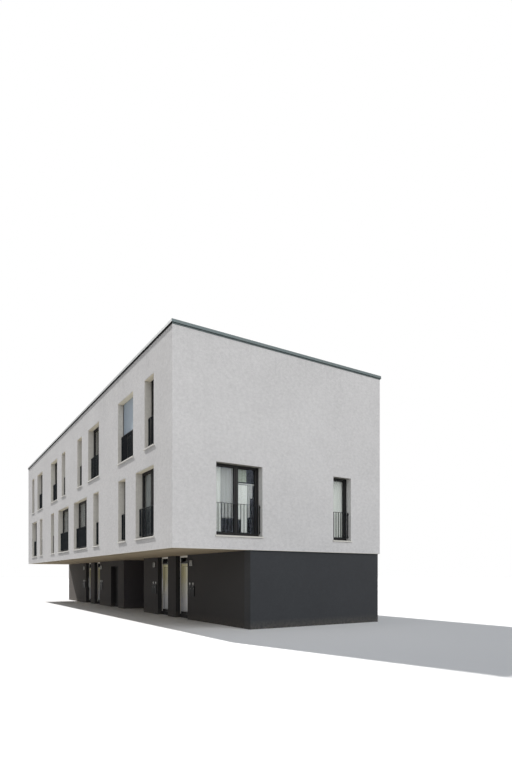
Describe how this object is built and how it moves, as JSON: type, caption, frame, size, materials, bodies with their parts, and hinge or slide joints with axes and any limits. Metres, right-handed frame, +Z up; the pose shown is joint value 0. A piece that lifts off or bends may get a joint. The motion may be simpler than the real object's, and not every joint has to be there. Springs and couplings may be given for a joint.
{
  "type": "terraced house row",
  "caption": "Flat-roofed white terraced house row: two upper storeys overhang a recessed dark ground storey with paired entrance doors, an open niche and railed French windows.",
  "frame": {"origin": "middle of the row's plan, on the ground", "axes": "+X along the row to the right as seen from the entrance side, +Y from the entrance side to the rear, +Z up"},
  "size_m": [24.588, 8.238, 8.98],
  "materials": {
    "white_render": "fine rough render",
    "dark_render": "fine rough render",
    "soffit_render": "smooth render",
    "concrete": "screeded",
    "roof_gravel": "loose gravel",
    "coping_metal": "satin",
    "window_frame": "satin",
    "window_glass": "clear",
    "sill_metal": "satin",
    "railing_metal": "satin",
    "shutter_slats": "satin",
    "door_cream": "satin",
    "door_glass": "satin",
    "fanlight_glass": "clear",
    "store_door": "satin",
    "steel": "brushed",
    "lamp_cover": "opal",
    "box_metal": "satin"
  },
  "bodies": {
    "building": {"ground_slab": "concrete", "ground_right_wall": "dark_render", "ground_left_wall": "dark_render", "ground_rear_wall": "dark_render", "entry_wall_right": "dark_render", "entry_wall_left": "dark_render", "store_lintel": "dark_render", "niche_side_walls": "dark_render", "niche_back_wall": "dark_render", "soffit_lining": "soffit_render", "first_floor_slab": "concrete", "second_floor_slab": "concrete", "roof_slab": "concrete", "roof_gravel": "roof_gravel", "first_front_wall": "white_render", "first_rear_wall": "white_render", "second_front_wall": "white_render", "second_rear_wall": "white_render", "right_gable_wall": "white_render", "left_gable_wall": "white_render", "coping_long_sides": "coping_metal", "coping_gables": "coping_metal", "first_window_frames": "window_frame", "second_window_frames": "window_frame", "first_window_glass": "window_glass", "second_window_glass": "window_glass", "first_sills": "sill_metal", "second_sills": "sill_metal", "first_railings": "railing_metal", "second_railings": "railing_metal", "roller_shutter": "shutter_slats", "shutter_guides": "window_frame", "door_frames": "door_cream", "fanlights": "fanlight_glass", "store_door_frame": "store_door", "porch_lamps": "lamp_cover", "letter_boxes": "box_metal", "bell_plates": "box_metal"},
    "door_1": {"door_1_leaf": "door_cream", "door_1_panel": "door_glass", "door_1_fittings": "steel"},
    "door_2": {"door_2_leaf": "door_cream", "door_2_panel": "door_glass", "door_2_fittings": "steel"},
    "door_3": {"door_3_leaf": "door_cream", "door_3_panel": "door_glass", "door_3_fittings": "steel"},
    "door_4": {"door_4_leaf": "door_cream", "door_4_panel": "door_glass", "door_4_fittings": "steel"},
    "store_door": {"store_door_leaf": "store_door", "store_door_fittings": "steel"}
  },
  "joints": [
    {"name": "door_1_hinge", "type": "hinge", "parent": "building", "child": "door_1", "pos_m": [6.5075, -1.165, 0.158], "axis": [0, 0, 1], "range_deg": [0, 90]},
    {"name": "door_2_hinge", "type": "hinge", "parent": "building", "child": "door_2", "pos_m": [5.5425, -1.165, 0.158], "axis": [0, 0, -1], "range_deg": [0, 90]},
    {"name": "door_3_hinge", "type": "hinge", "parent": "building", "child": "door_3", "pos_m": [-5.5425, -1.165, 0.158], "axis": [0, 0, 1], "range_deg": [0, 90]},
    {"name": "door_4_hinge", "type": "hinge", "parent": "building", "child": "door_4", "pos_m": [-6.5075, -1.165, 0.158], "axis": [0, 0, -1], "range_deg": [0, 90]},
    {"name": "store_door_hinge", "type": "hinge", "parent": "building", "child": "store_door", "pos_m": [-2.2375, -1.165, 0.158], "axis": [0, 0, 1], "range_deg": [0, 90]}
  ]
}
